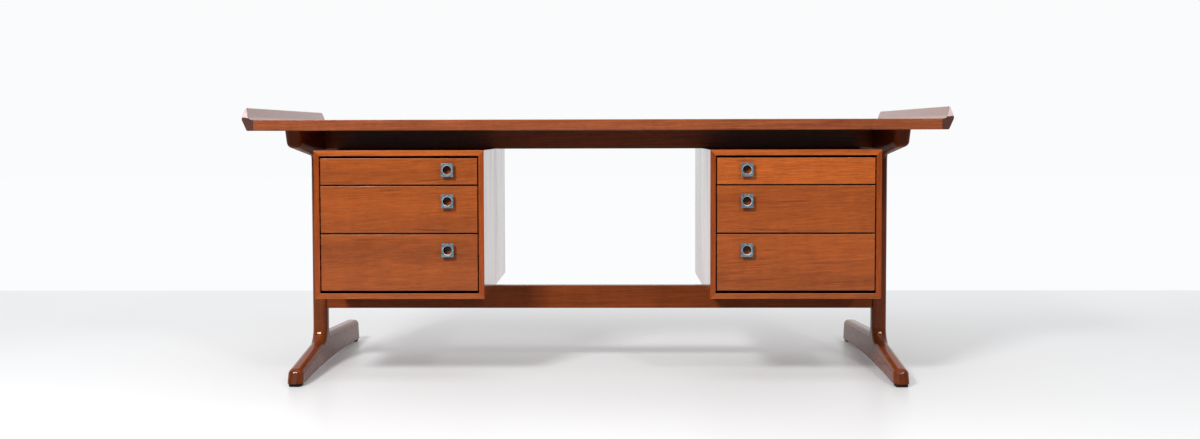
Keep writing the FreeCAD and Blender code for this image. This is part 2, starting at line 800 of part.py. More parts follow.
def drawer_front(level):
    """The front, with a socket for each tail, a groove for the bottom and a seat for the pull."""
    body = new_body(f"right_{level}_drawer_front")
    height = front_height(level)
    block(body, "Additive", "Board", (f"-{FRONT_HALF}", FRONT_HALF), ("0", "front_thickness"), ("0", height))
    finish_edges(body, "Fillet", "FaceEdges", "front_round", lambda edge: lies(edge, y=0))
    sketch = sketch_on(body, "YZ_Plane", "Sockets", tails(level, "joint_gap"),
                       offset=f"{BOX_HALF_INSIDE} - joint_gap")
    sockets = extrude(body, "Pocket", "SocketCut", sketch,
                      "drawer_side_thickness + drawer_side_clearance + overrun", "Forwards")
    twin = body.newObject("PartDesign::Mirrored", "OtherSockets")
    twin.Originals = [sockets]
    twin.MirrorPlane = (origin_plane(body, "YZ_Plane"), [""])
    body.Tip = twin
    block(body, "Subtractive", "PanelGroove", (f"-{BOX_HALF_INSIDE}", BOX_HALF_INSIDE),
          ("front_thickness - panel_groove - glue_gap", "front_thickness"),
          (f"{PANEL_UNDER} - joint_gap", f"{PANEL_OVER} + joint_gap"))
    level_cylinder(body, "Subtractive", "PullSeat", f"-{FRONT_HALF} + pull_from_edge",
                   ("-overrun", "pull_seat"), f"{height} - {level}_pull_drop", "pull_neck_radius + joint_gap")
    place_drawer(body, level)
    keep_pair(f"{level}_drawer_front", body)


def drawer_sides(level):
    """A pair of sides, dovetailed in front, grooved for the runners, the bottom and the back."""
    body = new_body(f"right_{level}_drawer_side")
    low, high = side_span(level)
    outline = [corner for tail in tails(level) for corner in tail]
    outline = [("front_thickness", low)] + outline + [
        ("front_thickness", high), (BOX_REAR, high), (BOX_REAR, low)]
    sketch = sketch_on(body, "YZ_Plane", "SideView", [outline], offset=BOX_HALF_INSIDE)
    extrude(body, "Pad", "Board", sketch, "drawer_side_thickness", "Forwards")
    middle = runner_middle(level)
    half_groove = "(runner_height / 2 + running_gap)"
    block(body, "Subtractive", "RunnerGroove",
          (f"{BOX_HALF} - {RUNNER_BITE} - running_gap", f"{BOX_HALF} + overrun"),
          ("front_thickness + runner_setback - runner_stop_gap", f"{BOX_REAR} + overrun"),
          (f"{middle} - {half_groove}", f"{middle} + {half_groove}"))
    block(body, "Subtractive", "PanelGroove",
          (f"{BOX_HALF_INSIDE} - overrun", f"{BOX_HALF_INSIDE} + panel_groove + glue_gap"),
          ("front_thickness", f"{BOX_REAR} + overrun"),
          (f"{PANEL_UNDER} - joint_gap", f"{PANEL_OVER} + joint_gap"))
    back_front, back_rear = back_span()
    block(body, "Subtractive", "BackHousing",
          (f"{BOX_HALF_INSIDE} - overrun", f"{BOX_HALF_INSIDE} + drawer_back_housing + joint_gap"),
          (f"{back_front} - joint_gap", f"{back_rear} + joint_gap"), (PANEL_OVER, f"{high} + overrun"))
    pair = group(f"right_{level}_drawer_sides", [mirrored(body, f"{level}_other_side"), body])
    place_drawer(pair, level)
    keep_pair(f"{level}_drawer_sides", pair)


def back_span():
    """Where a drawer's back lies, one thickness in from the end of the sides."""
    return f"{BOX_REAR} - 2 * drawer_side_thickness", f"{BOX_REAR} - drawer_side_thickness"


def drawer_back(level):
    body = new_body(f"right_{level}_drawer_back")
    half = f"({BOX_HALF_INSIDE} + drawer_back_housing)"
    high = side_span(level)[1]
    block(body, "Additive", "Board", (f"-{half}", half), back_span(),
          (f"{PANEL_OVER} + joint_gap", f"{high} - drawer_back_drop"))
    place_drawer(body, level)
    keep_pair(f"{level}_drawer_back", body)


def drawer_bottom(level):
    body = new_body(f"right_{level}_drawer_bottom")
    half = f"({BOX_HALF_INSIDE} + panel_groove)"
    inside = f"({BOX_HALF_INSIDE} - glue_gap)"
    block(body, "Additive", "Panel", (f"-{half}", half), ("front_thickness + glue_gap", BOX_REAR),
          (PANEL_UNDER, PANEL_OVER))
    block(body, "Additive", "FrontTongue", (f"-{inside}", inside),
          ("front_thickness - panel_groove", "front_thickness + glue_gap"), (PANEL_UNDER, PANEL_OVER))
    place_drawer(body, level)
    keep_pair(f"{level}_drawer_bottom", body)


def pull(level):
    """A square plate on a round neck, bored through, drawn from the middle of its seat."""
    body = new_body(f"right_{level}_drawer_pull")
    half_width, half_height = "(pull_width / 2)", "(pull_height / 2)"
    block(body, "Additive", "Plate", (f"-{half_width}", half_width),
          ("-pull_projection", "-pull_projection + pull_thickness"), (f"-{half_height}", half_height))
    finish_edges(body, "Chamfer", "PlateEdges", "pull_edge_bevel",
                 lambda edge: lies(edge, y=-value("pull_projection")))
    level_cylinder(body, "Additive", "Neck", "0", ("-pull_projection + pull_thickness / 2", "pull_seat"), "0",
                   "pull_neck_radius")
    level_cylinder(body, "Subtractive", "FingerHole", "0",
                   ("-pull_projection - overrun", "pull_seat + overrun"), "0", "pull_hole_radius")
    face = -value("pull_projection")
    finish_edges(body, "Chamfer", "Rim", "pull_rim", lambda edge: lies(edge, y=face) and edge.isClosed())
    place(body, f"{CASE_X} - {FRONT_HALF} + pull_from_edge", f"{CASE_FRONT} + front_inset",
          f"{CASE_BOTTOM} + {drawer_bottom_place(level)} + {front_height(level)} - {level}_pull_drop")
    keep_pair(f"{level}_drawer_pull", body)


def drawer_runners():
    """Three hardwood strips on each inner wall of a case, with rounded noses."""
    strips = []
    start = "(front_inset + front_thickness + runner_setback)"
    for level in LEVELS:
        body = new_body(f"{level}_runner")
        middle = f"({drawer_bottom_place(level)} + {runner_middle(level)})"
        low, high = f"({middle} - runner_height / 2)", f"({middle} + runner_height / 2)"
        block(body, "Additive", "Strip", (f"{CASE_HALF_INSIDE} - runner_depth", CASE_HALF_INSIDE),
              (start, "case_depth - case_back_thickness - runner_rear_gap"), (low, high))
        round_corners(body, "Nose", "runner_height / 2 - joint_gap", "yz", [(start, low), (start, high)])
        strips += [body, mirrored(body, f"{level}_other_runner")]
    runners = group("right_drawer_runners", strips)
    place_case(runners)
    keep_pair("drawer_runners", runners)


desktop_board()
edge_strip("front_edge_strip", "-1")
edge_strip("rear_edge_strip", "1")
end_board()
end_board_splines()
foot()
post()
arm()
foot_glides()
lower_rail()
upper_rail()
desktop_screws()
case_boards()
case_back()
drawer_runners()
case_screws()
for drawer in LEVELS:
    drawer_front(drawer)
    drawer_sides(drawer)
    drawer_back(drawer)
    drawer_bottom(drawer)
    pull(drawer)

doc.recompute()
failed = [item.Name for item in doc.Objects if {"Invalid", "Error"} & set(item.State)]
unsound = [node.Label for node in nodes if node.Shape.isNull() or not node.Shape.isValid()]
if failed or unsound:
    raise RuntimeError(f"not written: failed {failed}, unsound {unsound}")

os.makedirs("parts", exist_ok=True)
for node in nodes:
    node.Shape.exportStep(f"parts/{node.Label}.step")
print(f"{len(nodes)} nodes, {sum(len(node.Shape.Solids) for node in nodes)} solids")
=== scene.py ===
import json
import math

import bpy
from mathutils import Matrix, Vector


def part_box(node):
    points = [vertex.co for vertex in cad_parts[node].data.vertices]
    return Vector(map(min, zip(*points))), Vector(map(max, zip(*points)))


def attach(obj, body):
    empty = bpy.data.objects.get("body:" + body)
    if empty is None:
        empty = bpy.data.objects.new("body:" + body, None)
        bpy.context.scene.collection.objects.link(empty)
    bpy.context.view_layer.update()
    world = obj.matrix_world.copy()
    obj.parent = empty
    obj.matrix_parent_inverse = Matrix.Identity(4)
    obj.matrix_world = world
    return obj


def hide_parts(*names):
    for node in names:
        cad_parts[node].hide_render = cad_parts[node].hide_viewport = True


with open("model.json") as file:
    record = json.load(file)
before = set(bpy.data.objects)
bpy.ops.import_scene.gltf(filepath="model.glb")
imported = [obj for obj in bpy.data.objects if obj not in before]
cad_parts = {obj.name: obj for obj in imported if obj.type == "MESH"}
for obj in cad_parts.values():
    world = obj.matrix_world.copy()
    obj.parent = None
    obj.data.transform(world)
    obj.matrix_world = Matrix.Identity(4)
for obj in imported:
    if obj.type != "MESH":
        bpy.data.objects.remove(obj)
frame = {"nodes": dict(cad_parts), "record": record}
nodes = frame["nodes"]
bodies = frame["record"]["behaviour"]["bodies"]
body_of_node = {name: body for body, names in bodies.items() for name in names}
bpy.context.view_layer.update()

SIDES = ("left", "right")
LEVELS = ("top", "middle", "bottom")


# Material maths

class Wire:
    """A number or colour that comes out of a node, and that can be worked with as a number."""

    def __init__(self, finish, socket):
        self.finish = finish
        self.socket = socket

    def maths(self, operation, first, second=0.0):
        return self.finish.add("ShaderNodeMath", {"operation": operation}, {0: first, 1: second})

    def __add__(self, other):
        return self.maths("ADD", self, other)

    __radd__ = __add__

    def __sub__(self, other):
        return self.maths("SUBTRACT", self, other)

    def __rsub__(self, other):
        return self.maths("SUBTRACT", other, self)

    def __mul__(self, other):
        return self.maths("MULTIPLY", self, other)

    __rmul__ = __mul__

    def __pow__(self, other):
        return self.maths("POWER", self, other)

    def unsigned(self):
        return self.maths("ABSOLUTE", self)

    def larger(self, other):
        """This number or another, whichever is the larger."""
        return self.maths("MAXIMUM", self, other)

    def folded(self, width):
        """A number that climbs to a width and comes back to 0, over and over."""
        return self.maths("PINGPONG", self, width)


class Finish:
    """The nodes of a material or of the world, each of which comes from add()."""

    def __init__(self, owner):
        self.owner = owner
        owner.use_nodes = True
        self.tree = owner.node_tree
        self.tree.nodes.clear()

    def add(self, kind, settings=None, sockets=None, output=0):
        """Adds a node, sets it, fills or links its sockets, and gives one of its outputs."""
        node = self.tree.nodes.new(kind)
        for key, value in (settings or {}).items():
            if key == "stops":
                ramp = node.color_ramp
                for index, (place, colour) in enumerate(value):
                    stop = ramp.elements[index] if index < 2 else ramp.elements.new(place)
                    stop.position = place
                    stop.color = colour
            else:
                setattr(node, key, value)
        for key, value in (sockets or {}).items():
            if isinstance(value, Wire):
                self.tree.links.new(value.socket, node.inputs[key])
            else:
                node.inputs[key].default_value = value
        return Wire(self, node.outputs[output]) if len(node.outputs) else node

    def between(self, value, low, high):
        """0 where a value is at low or short of it, 1 at high or past it, and smooth between."""
        return self.add("ShaderNodeMapRange", {"interpolation_type": "SMOOTHSTEP"},
                        {"Value": value, "From Min": low, "From Max": high})

    def grey(self, value, stops):
        """A number that follows a value through stops, each a place and a level from 0 to 1."""
        greys = [(place, (level, level, level, 1)) for place, level in stops]
        return self.add("ShaderNodeValToRGB", {"stops": greys}, {"Fac": value})

    def mix(self, first, second, share):
        """From one colour to another, as the share goes from 0 to 1."""
        return self.add("ShaderNodeMix", {"data_type": "RGBA"}, {0: share, 6: first, 7: second}, output=2)

    def shade(self, colour, amount):
        """A colour made darker or lighter by an amount, 1 leaving it as it is."""
        return self.add("ShaderNodeVectorMath", {"operation": "SCALE"}, {0: colour, "Scale": amount})

    def part(self, vector, axis):
        return self.add("ShaderNodeSeparateXYZ", {}, {0: vector}, output="XYZ".index(axis))

    def point(self):
        """Where a point lies on the object."""
        return self.add("ShaderNodeTexCoord", output="Object")

    def place(self, axis):
        """Where a point lies on the object along one axis."""
        return self.part(self.point(), axis)

    def facing(self, axis):
        """How much the surface faces along one axis, from -1 to 1."""
        return self.part(self.add("ShaderNodeTexCoord", output="Normal"), axis)

    def ray(self, kind):
        """1 for the light's rays of one kind."""
        return self.add("ShaderNodeLightPath", output=kind)

    def stretched(self, place, scale):
        return self.add("ShaderNodeVectorMath", {"operation": "MULTIPLY"}, {0: place, 1: scale})

    def noise(self, place, scale=1.0, detail=2.0, roughness=0.5):
        return self.add("ShaderNodeTexNoise", {},
                        {"Vector": place, "Scale": scale, "Detail": detail, "Roughness": roughness})

    def bump(self, height, depth, strength):
        return self.add("ShaderNodeBump", {}, {"Height": height, "Distance": depth, "Strength": strength})

    def close(self, **sockets):
        """Ends the material. A name's underscores stand for the spaces in a socket's name."""
        values = {key.replace("_", " "): value for key, value in sockets.items()}
        surface = self.add("ShaderNodeBsdfPrincipled", {}, values)
        self.add("ShaderNodeOutputMaterial", {}, {"Surface": surface})
        return self.owner


# Wood

# How the stem is turned for its grain to run along each axis.
ALONG = {"X": (0, 0, 0), "Y": (0, 0, -math.pi / 2), "Z": (0, math.pi / 2, 0)}
# What shows in sawn wood: how fine each pattern is along, across and into the stem, its detail and
# its roughness.
PATTERNS = {
    "sway": ((2.2, 14, 14), 2, 0.5),
    "streak": ((3.5, 95, 95), 4, 0.6),
    "fleck": ((6, 300, 300), 3, 0.6),
    "tick": ((75, 560, 560), 2, 0.6),
    "figure": ((34, 12, 12), 2, 0.5),
    "fibre": ((9, 520, 520), 3, 0.65),
    "pores": ((38, 1500, 1500), 1, 0.5),
    "cloud": ((1.6, 9, 9), 2, 0.5),
}
# How strongly a pattern lightens and darkens the wood.
CONTRAST = {"cloud": 0.32, "fibre": 1.05, "fleck": 0.72, "tick": 0.50, "figure": 0.26}
RING_SWAY = 0.016
YEAR_LINE_STRENGTH = 0.60
STREAK_STRENGTH = 0.28
PORE_DARKNESS = 0.34
# A reach longer than any piece.
NO_END_GRAIN = 9.0


def stem_place(finish, along, heart, tilt, leaf):
    """Where a point lies in the stem, whose centre is at heart and whose length runs along X."""
    turn = ALONG[along]
    turn = (turn[0], turn[1] + tilt, turn[2] + tilt * 0.6)
    point = finish.point()
    if leaf:
        across, deep, high = (finish.part(point, axis) for axis in "XYZ")
        point = finish.add("ShaderNodeCombineXYZ", {}, {"X": across, "Y": deep.folded(leaf), "Z": high})
    return finish.add("ShaderNodeMapping", {}, {"Vector": point, "Location": heart, "Rotation": turn})


def growth(finish, grain, ring_gap):
    """A stem's year rings, and the streaks, fibres, pores and clouds along its grain."""
    show = {name: finish.noise(finish.stretched(grain, stretch), detail=detail, roughness=roughness)
            for name, (stretch, detail, roughness) in PATTERNS.items()}
    across, deep = finish.part(grain, "Y"), finish.part(grain, "Z")
    radius = (across * across + deep * deep) ** 0.5 + show["sway"] * RING_SWAY
    show["rings"] = finish.add("ShaderNodeTexNoise", {"noise_dimensions": "1D"},
                               {"W": radius * (1 / ring_gap), "Detail": 3.0, "Roughness": 0.62})
    show["pore"] = finish.between(show["pores"], 0.62, 0.74)
    return show


def grown_colour(finish, show, colours, streaks):
    """The wood's body with its light bands, its dark year lines and its dark streaks."""
    dark, body, light = colours
    banded = finish.between(show["rings"] * 0.55 + show["streak"] * 0.45, 0.46, 0.66)
    colour = finish.mix(body, light, banded)
    year_line = finish.between(show["rings"], 0.60, 0.74) * finish.between(show["cloud"], 0.38, 0.62)
    colour = finish.mix(colour, dark, year_line * (YEAR_LINE_STRENGTH * streaks))
    dark_streak = finish.between(show["streak"], 0.44, 0.28)
    return finish.mix(colour, dark, dark_streak * (STREAK_STRENGTH * streaks))


def grown_tone(show):
    """How light the wood is, from its fibres, flecks, figure, clouds and pores."""
    tone = 1.0
    for pattern, strength in CONTRAST.items():
        tone = tone + (show[pattern] - 0.5) * strength
    return tone * (1 - show["pore"] * PORE_DARKNESS)


END_GRAIN_BLEND = 0.006


def end_grain(finish, along, reach, steep):
    """1 where the fibres are cut across, on a face steep to the grain and beyond the reach along it."""
    cut_across = finish.between(finish.facing(along).unsigned(), *steep)
    spot = finish.place(along).unsigned()
    return cut_across * finish.between(spot, reach - END_GRAIN_BLEND, reach + END_GRAIN_BLEND)


# How far the shade painted inside a case reaches into its boards, and where it starts behind their front
# edges.
INTO_BOARD = (0.0020, 0.0005)
BEHIND_EDGE = (0.0005, 0.0030)


def inside_a_case(finish):
    """1 on the inner faces of the cases' boards, behind their front edges, where shade is painted."""
    inner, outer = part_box("right_case_inner_side"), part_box("right_case_outer_side")
    floor_board, ceiling_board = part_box("right_case_bottom"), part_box("right_case_top")
    far, near = INTO_BOARD
    across, deep, high = finish.place("X").unsigned(), finish.place("Y"), finish.place("Z")
    wide = finish.between(across, inner[1].x - far, inner[1].x - near)
    wide = wide * finish.between(across, outer[0].x + far, outer[0].x + near)
    tall = finish.between(high, floor_board[1].z - far, floor_board[1].z - near)
    tall = tall * finish.between(high, ceiling_board[0].z + far, ceiling_board[0].z + near)
    return wide * tall * finish.between(deep, inner[0].y + BEHIND_EDGE[0], inner[0].y + BEHIND_EDGE[1])


# How far the bands of a drawer front wander with its clouds.
BAND_WANDER = 0.22


def tone_bands(finish, box, bands, cloud):
    """Broad darker and lighter bands across a board, given by their height on it."""
    low, high = box
    height = (finish.place("Z") - low.z) * (1 / (high.z - low.z))
    return finish.grey(height + (cloud - 0.5) * BAND_WANDER, bands)


# A thin dark line on a board: how far it wanders, where its darkness fades out and is full, and where
# it fades in and out along its length.
LINE_WANDER = 0.004
LINE_EDGE = (0.0024, 0.0004)
LINE_START = (-0.05, 0.22)
LINE_END = (1.05, 0.70)


def dark_line(finish, box, line, fibre):
    """A thin dark streak on a board's face. Its ends are given as shares of the width and height."""
    (from_x, from_z), (to_x, to_z), darkness = line
    low, high = box
    width, height = high.x - low.x, high.z - low.z
    along = (finish.place("X") - (low.x + from_x * width)) * (1 / ((to_x - from_x) * width))
    level = along * ((to_z - from_z) * height) + (low.z + from_z * height)
    off = (finish.place("Z") - (level + (fibre - 0.5) * LINE_WANDER)).unsigned()
    ends = finish.between(along, *LINE_START) * finish.between(along, *LINE_END)
    return finish.between(off, *LINE_EDGE) * ends * darkness


# A drawer front's painted edge shade: how far behind its face it fades, how much of the shade lies only
# that near, and how wide the painted dark strips are along its lower edge and along its edge on the
# kneehole's side.
NEAR_FACE = (0.0060, 0.0030)
NEAR_SHARE = 0.7
LOWER_STRIP = (0.0011, 0.0020)
KNEEHOLE_STRIP = (0.0009, 0.0018)


def edge_shade(finish, box, amount):
    """Paints shade on a front's sides and underside, and on narrow strips along two edges of its face."""
    low, high = box
    near_face = finish.between(finish.place("Y") - low.y, *NEAR_FACE)
    near = near_face * NEAR_SHARE + (1 - NEAR_SHARE)
    aside = finish.between(finish.facing("Y").unsigned(), 0.60, 0.10)
    under = finish.between(finish.facing("Z"), -0.12, -0.50)
    up = finish.place("Z") - low.z
    outward = finish.place("X").unsigned() - min(abs(low.x), abs(high.x))
    strips = 1 - finish.between(up, *LOWER_STRIP) * finish.between(outward, *KNEEHOLE_STRIP)
    return (1 - amount * near * aside) * (1 - amount * near * under) * (1 - amount * strips * near_face)


# The rim of the round seat that a pull stands in.
SEAT_EDGE = (0.0150, 0.0144)


def seat_shade(finish, seat):
    """Painted shadow in a pull's seat, with a painted patch of light at the lower right where light falls
    through the hole.
    """
    right, up = finish.place("X") - seat[0], finish.place("Z") - seat[1]
    inside = finish.between((right * right + up * up) ** 0.5, *SEAT_EDGE)
    lit = finish.between(right * 0.5 - up * 0.87, -0.004, 0.010)
    return 1 - inside * (0.78 - lit * 0.85)


# The slope at a lip's front end: how it rises from its foot, over a height and a depth, from the
# front of the top, where its painted highlight starts, and how wide and dark the line at its corner is.
LIP_END = {"front": -0.425, "foot": 0.7375, "height": 0.0285, "depth": 0.021}
SLOPE_START = (-0.398, -0.404)
CORNER_LINE = (0.0034, 0.0022)
CORNER_DARKNESS = 0.8


def lip_end_slope(finish):
    """1 on the slope at a lip's front end."""
    rising = finish.between(finish.facing("Z"), 0.06, 0.20)
    forward = finish.between(finish.place("Y"), *SLOPE_START)
    return rising * forward * finish.between(finish.facing("X").unsigned(), 0.5, 0.3)


def lip_corner_line(finish):
    """1 on a narrow line along the corner between a lip's slope and its faces."""
    climb = (finish.place("Z") - LIP_END["foot"]) * (1 / LIP_END["height"])
    behind = finish.place("Y") - (climb * climb * LIP_END["depth"] + LIP_END["front"])
    return finish.between(behind, *CORNER_LINE) * finish.between(climb, 0.02, 0.10)


def side_lacquer(finish, show):
    """Lacquer on the faces that turn away from the front, uneven along the grain."""
    aside = finish.between(finish.facing("Y").unsigned(), 0.6, 0.2)
    return aside * (show["streak"] * 0.5 + 0.45 + finish.between(show["cloud"], 0.36, 0.64) * 0.4)


# A pale colour painted on rounds that face up, as a highlight.
TOP_ROUND_HIGHLIGHT = (0.62, 0.27, 0.14, 1)
# A pale colour painted on the lips' end slopes, as a highlight.
SLOPE_HIGHLIGHT = (0.61, 0.49, 0.49, 1)
# How dark the shade painted inside the cases is.
CASE_SHADE_DARKNESS = 0.95


def wood(name, along, heart, colours, ring_gap=0.006, tilt=0.0, leaf=0.0, streaks=1.0,
         gloss=0.20, shine=0.22, coat=0.0, coat_rough=0.12, side_coat=0.0,
         reach=NO_END_GRAIN, steep=(0.45, 1.0), dim=0.42, painted_case_shade=False, painted_top_highlight=0.0, painted_slope_highlight=False,
         box=None, edges=0.0, seat=None, bands=(), lines=()):
    """Wood cut from a round stem. The grain runs along one axis, heart is where the stem's centre
    lies, colours are its dark line, its body and its light band, ring_gap is how far apart its year
    rings are, and tilt is the stem's slope. Veneer leaves of a width leaf mirror each other, and
    streaks is how strong the dark lines and streaks are. Gloss is how rough the surface is, shine how
    well it mirrors, coat its lacquer, coat_rough how rough that is, and side_coat the lacquer on faces
    that turn away from the front. End grain shows beyond the reach, on faces as steep to the grain as
    steep says, darker by dim. Shade can be painted on the inner faces of the cases, a pale highlight
    of a given strength painted on rounds that face up, and a pale highlight painted on the slopes of
    the lips' ends. For a drawer's front, box is where it lies, edges is how dark the shade painted on
    its edges is, seat is its pull's centre, round which shadow and a patch of light are painted in the
    seat, bands are its broad tones from the lower edge up, and lines are its dark streaks."""
    finish = Finish(bpy.data.materials.new(name))
    show = growth(finish, stem_place(finish, along, heart, tilt, leaf), ring_gap)
    fibre, pore = show["fibre"], show["pore"]
    dark = colours[0]
    colour = grown_colour(finish, show, colours, streaks)
    tone = grown_tone(show)
    end = end_grain(finish, along, reach, steep)
    for line in lines:
        colour = finish.mix(colour, dark, dark_line(finish, box, line, fibre))
    if bands:
        tone = tone * tone_bands(finish, box, bands, show["cloud"])
    # Shade painted on the inner faces of the cases.
    if painted_case_shade:
        tone = tone * (1 - inside_a_case(finish) * CASE_SHADE_DARKNESS)
    # Shade painted on a front's sides and underside, and on strips along its lower and kneehole edges.
    if edges:
        tone = tone * edge_shade(finish, box, edges)
    # A painted shadow in the pull's seat, with a painted patch of light at its lower right.
    if seat:
        tone = tone * seat_shade(finish, seat)
    colour = finish.shade(colour, tone * (1 - end * dim))
    # A pale highlight painted on rounds that face up.
    if painted_top_highlight:
        up = finish.facing("Z")
        on_rounds = finish.between(up, 0.10, 0.45) * finish.between(up, 0.97, 0.85)
        colour = finish.mix(colour, TOP_ROUND_HIGHLIGHT, on_rounds * painted_top_highlight)
    # A pale highlight painted on the lips' end slopes, weaker where they face most nearly up, with a dark
    # line along their corner and no lacquer on either.
    if painted_slope_highlight:
        slope = lip_end_slope(finish)
        corner = lip_corner_line(finish) * (1 - slope) * CORNER_DARKNESS
        paleness = 0.9 - finish.between(finish.facing("Z"), 0.50, 0.90) * 0.55
        colour = finish.mix(colour, SLOPE_HIGHLIGHT, slope * paleness)
        colour = finish.mix(colour, dark, corner)
        coat = (1 - slope) * (1 - corner) * coat
    if side_coat:
        coat = side_lacquer(finish, show) * side_coat

    height = fibre * 0.6 + show["streak"] * 0.3 - pore * 0.8
    rough = gloss + (fibre - 0.5) * 0.10 + pore * 0.12 + end * 0.14
    return finish.close(Base_Color=colour, Roughness=rough, Specular_IOR_Level=shine, Coat_Weight=coat,
                        Coat_Roughness=coat_rough, Normal=finish.bump(height, 0.00010, 0.35))


# The woods of the desk

# How a wood's dark line and its light band differ from its body, in red, green and blue.
DARK_LINE = (0.30, 0.30, 1.0)
LIGHT_BAND = (1.16, 1.26, 1.20)
TEAK = (0.336, 0.0737, 0.0135)
CASE_TEAK = (0.280, 0.0507, 0.0068)
FRAME_TEAK = (0.203, 0.0420, 0.0086)
EDGE_TEAK = (0.273, 0.0702, 0.0261)
OAK = (0.52, 0.36, 0.20)
BEECH = (0.56, 0.40, 0.24)


def tints(body, lift=1.0):
    """A wood's dark line, its body and its light band, from the body's colour, all lighter by a lift."""
    return [tuple(level * share * lift for level, share in zip(body, tint)) + (1,)
            for tint in (DARK_LINE, (1, 1, 1), LIGHT_BAND)]


top_veneer = wood("top_veneer", "X", (0.3, 0.02, -0.80), tints(TEAK), ring_gap=0.008, tilt=0.03,
                  leaf=0.203)
edge_wood = wood("edge_wood", "X", (0.1, 0.50, -0.60), tints(EDGE_TEAK), ring_gap=0.005, tilt=0.02,
                 shine=0.12)
# The lips' end slopes get a painted pale highlight.
end_board_wood = {
    side: wood(f"{side}_end_board_wood", "Y", (0.2, shift, -0.62), tints(EDGE_TEAK, lift=0.9),
               ring_gap=0.005, tilt=0.03, gloss=0.40, coat=1.0, coat_rough=0.2,
               reach=0.418, steep=(0.90, 0.99), dim=0.76, painted_slope_highlight=True)
    for side, shift in (("left", -0.86), ("right", 0.99))}
foot_wood = wood("foot_wood", "Y", (0.4, 0.78, -0.02), tints(FRAME_TEAK, lift=0.94), ring_gap=0.005,
                 tilt=0.04, shine=0.04, coat=0.24, coat_rough=0.06, reach=0.35)
post_wood = wood("post_wood", "Z", (0.1, 0.14, 0.88), tints(FRAME_TEAK, lift=0.90), ring_gap=0.005,
                 tilt=0.02, shine=0.03, coat=0.22, coat_rough=0.04)
arm_wood = wood("arm_wood", "Y", (0.9, 0.74, -0.60), tints(FRAME_TEAK, lift=0.86), ring_gap=0.005,
                tilt=0.03, gloss=0.42, shine=0.10, reach=0.34, dim=0.5)
lower_rail_wood = wood("lower_rail_wood", "X", (0.5, 0.16, -0.28), tints(FRAME_TEAK, lift=1.02),
                       ring_gap=0.005, tilt=0.02, shine=0.08)
# The upper rail's wood is darker than the lower rail's: painted shade under the desk's top.
upper_rail_wood = wood("upper_rail_wood", "X", (0.1, 0.16, -0.75), tints(FRAME_TEAK, lift=0.86),
                       ring_gap=0.005, tilt=0.02)
# The cases' boards get shade painted on their inner faces.
case_side_wood = wood("case_side_wood", "Z", (0.7, 0.10, 0.42), tints(CASE_TEAK), ring_gap=0.007,
                      tilt=0.03, shine=0.2, side_coat=0.60, painted_case_shade=True)
# The top boards' wood is lighter than the bottom boards': painted light against the shade under the
# desk's top.
case_level_wood = {
    board: wood(f"case_{board}_wood", "X", (0.2, 0.46, deep), tints(TEAK, lift=lift), tilt=0.02,
                painted_case_shade=True, painted_top_highlight=0.7)
    for board, deep, lift in (("top", -0.47, 1.40), ("bottom", -0.33, 0.98))}
case_back_wood = wood("case_back_wood", "X", (0.9, -0.31, -0.42), tints(TEAK), ring_gap=0.008, tilt=0.04)
drawer_side_wood = wood("drawer_side_wood", "Y", (0.3, 0.2, -0.3), tints(OAK), gloss=0.5, shine=0.3,
                        streaks=0.5)
drawer_back_wood = wood("drawer_back_wood", "X", (0.3, -0.1, -0.2), tints(OAK), gloss=0.5, shine=0.3,
                        streaks=0.5)
drawer_bottom_wood = wood("drawer_bottom_wood", "X", (0.6, 0.3, -0.9), tints(OAK, lift=0.92),
                          ring_gap=0.012, gloss=0.55, shine=0.3, streaks=0.4)
runner_wood = wood("runner_wood", "Y", (0.5, 0.6, -0.2), tints(BEECH), ring_gap=0.004, gloss=0.5,
                   shine=0.3, streaks=0.3)

# Each drawer front: where its stem's centre lies, its lightness, its bands from the lower edge up,
# and its dark lines.
FRONTS = {
    "left_top": (
        (0.2, 0.40, -0.66), 1.02,
        ((0.0, 0.92), (0.3, 0.84), (0.5, 0.82), (0.72, 0.98), (1.0, 0.98)),
        (((0.60, 0.15), (0.79, 0.20), 0.62), ((-0.1, 0.10), (0.24, 0.08), 0.3))),
    "left_middle": (
        (0.8, 0.43, -0.40), 1.03,
        ((0.0, 0.80), (0.18, 0.82), (0.36, 0.92), (0.62, 1.0), (1.0, 0.92)),
        (((0.56, 0.09), (0.84, 0.05), 0.65),)),
    "left_bottom": (
        (1.4, 0.41, -0.52), 0.94,
        ((0.0, 0.95), (0.42, 0.97), (0.6, 0.83), (0.82, 0.83), (1.0, 0.94)),
        (((0.45, 0.68), (0.78, 0.71), 0.3),)),
    "right_top": (
        (2.1, 0.42, -0.52), 1.50,
        ((0.0, 0.94), (0.4, 0.92), (0.7, 0.95), (0.9, 1.0), (1.0, 1.0)),
        (((-0.05, 0.18), (0.12, 0.20), 0.2),)),
    "right_middle": (
        (2.7, 0.40, -0.47), 1.06,
        ((0.0, 0.94), (0.3, 0.92), (0.55, 0.88), (0.75, 0.90), (1.0, 1.0)),
        (((0.20, 0.62), (0.62, 0.69), 0.6), ((0.05, 0.105), (0.55, 0.05), 0.5))),
    "right_bottom": (
        (3.3, 0.43, -0.62), 1.06,
        ((0.0, 0.86), (0.2, 0.84), (0.4, 0.94), (0.7, 1.0), (1.0, 0.97)),
        (((-0.05, 0.16), (0.42, 0.22), 0.42), ((-0.1, 0.70), (0.10, 0.70), 0.35))),
}


def pull_centre(drawer):
    low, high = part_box(f"{drawer}_drawer_pull")
    return (low.x + high.x) / 2, (low.z + high.z) / 2


# Each front gets painted shade along its edges.
front_wood = {
    name: wood(f"{name}_front_wood", "X", heart, tints(TEAK, lift=lift), ring_gap=0.007, tilt=0.05,
               streaks=0.7, painted_top_highlight=0.6, box=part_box(f"{name}_drawer_front"), edges=0.95,
               seat=pull_centre(name), bands=bands, lines=lines)
    for name, (heart, lift, bands, lines) in FRONTS.items()}


